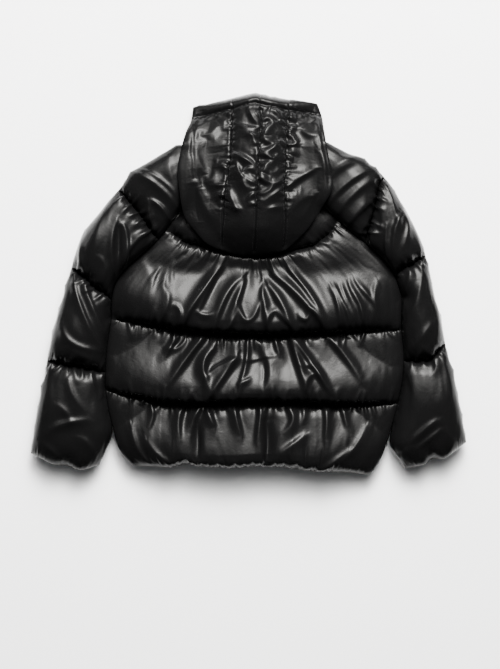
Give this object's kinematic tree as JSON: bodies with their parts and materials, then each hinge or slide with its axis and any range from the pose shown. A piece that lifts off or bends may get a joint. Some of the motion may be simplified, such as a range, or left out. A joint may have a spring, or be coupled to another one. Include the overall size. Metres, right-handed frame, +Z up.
{
  "type": "puffer jacket",
  "caption": "Hooded padded jacket with raglan sleeves and wide horizontal quilted channels, laid flat face down with its hood over the upper back.",
  "frame": {"origin": "on the surface the jacket lies on, under the middle of its bounding box", "axes": "+Z up out of the back panel, +Y from hem to hood, +X towards the wearer's right"},
  "size_m": [0.866, 0.7589, 0.0917],
  "materials": {
    "shell": "black coated nylon with a wet-look gloss and fine crinkles",
    "zip_tape": "black woven tape with a moulded chain",
    "slider_metal": "black lacquered metal slider and soft pull"
  },
  "bodies": {
    "root": {"back": "shell", "front_left": "shell", "front_right": "shell", "sleeve_left": "shell", "sleeve_right": "shell", "hood_side_left": "shell", "hood_side_right": "shell", "hood_centre_left": "shell", "hood_centre_right": "shell", "zip": "zip_tape", "zip_slider": "slider_metal"}
  },
  "joints": []
}
